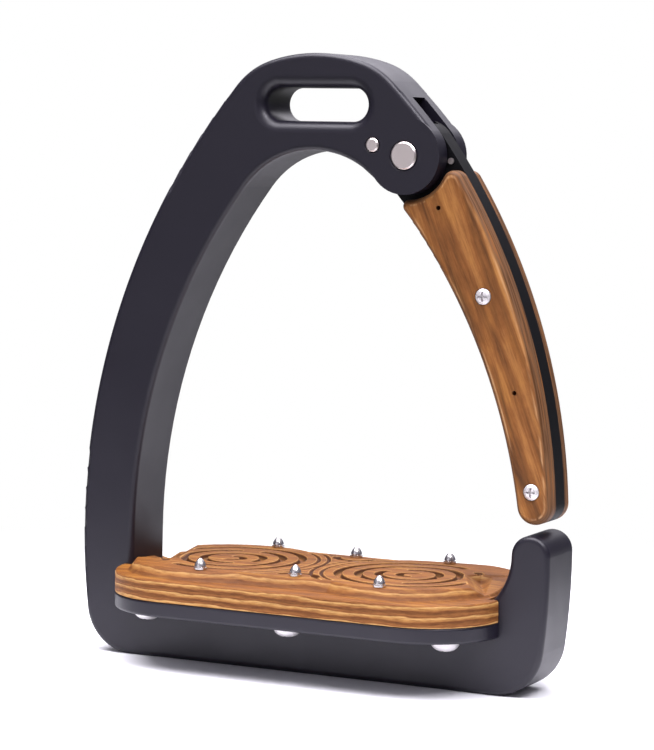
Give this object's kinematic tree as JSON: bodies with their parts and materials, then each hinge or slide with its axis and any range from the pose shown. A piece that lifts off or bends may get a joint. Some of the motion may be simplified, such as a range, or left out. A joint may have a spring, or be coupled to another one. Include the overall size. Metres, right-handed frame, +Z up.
{
  "type": "stirrup iron",
  "caption": "Safety stirrup iron with a dark metal frame, a spring-closed wood-cheeked arm and a studded, carved wooden tread.",
  "frame": {"origin": "on the ground, under the middle of the leather slot, halfway through the frame's depth", "axes": "+Z up, +X across the foot towards the hinged arm, -Y the front face"},
  "size_m": [0.1534, 0.065, 0.183],
  "materials": {
    "anodised_aluminium": "satin charcoal anodised over a fine bead blast",
    "anodised_core": "satin black anodised",
    "oiled_wood": "oiled, sanded edges",
    "carved_wood": "oiled, machine carved",
    "brushed_pin": "turned and brushed",
    "screw_steel": "bright plated",
    "polished_steel": "polished",
    "spring_steel": "drawn wire",
    "washer_polymer": "plain bearing plastic"
  },
  "bodies": {
    "frame_body": {"frame": "anodised_aluminium", "pivot_pin": "brushed_pin", "stop_pin": "brushed_pin", "washer_front": "washer_polymer", "washer_rear": "washer_polymer", "closing_spring": "spring_steel", "tread_pad": "carved_wood", "stud_1": "polished_steel", "stud_2": "polished_steel", "stud_3": "polished_steel", "stud_4": "polished_steel", "stud_5": "polished_steel", "stud_6": "polished_steel", "pad_screw_1": "screw_steel", "pad_screw_2": "screw_steel", "pad_screw_3": "screw_steel", "pad_screw_4": "screw_steel", "pad_screw_5": "screw_steel", "pad_screw_6": "screw_steel"},
    "arm": {"arm_core": "anodised_core", "cheek_front": "oiled_wood", "cheek_rear": "oiled_wood", "spring_anchor_pin": "brushed_pin", "cheek_screw_front_upper": "screw_steel", "cheek_screw_rear_upper": "screw_steel", "cheek_screw_front_lower": "screw_steel", "cheek_screw_rear_lower": "screw_steel"}
  },
  "joints": [
    {"name": "arm_hinge", "type": "hinge", "parent": "frame_body", "child": "arm", "pos_m": [0.02904, 0, 0.1537], "axis": [0, -1, 0], "range_deg": [0, 85], "stiffness_Nm_per_rad": 0.15, "springref_deg": -28.65}
  ]
}
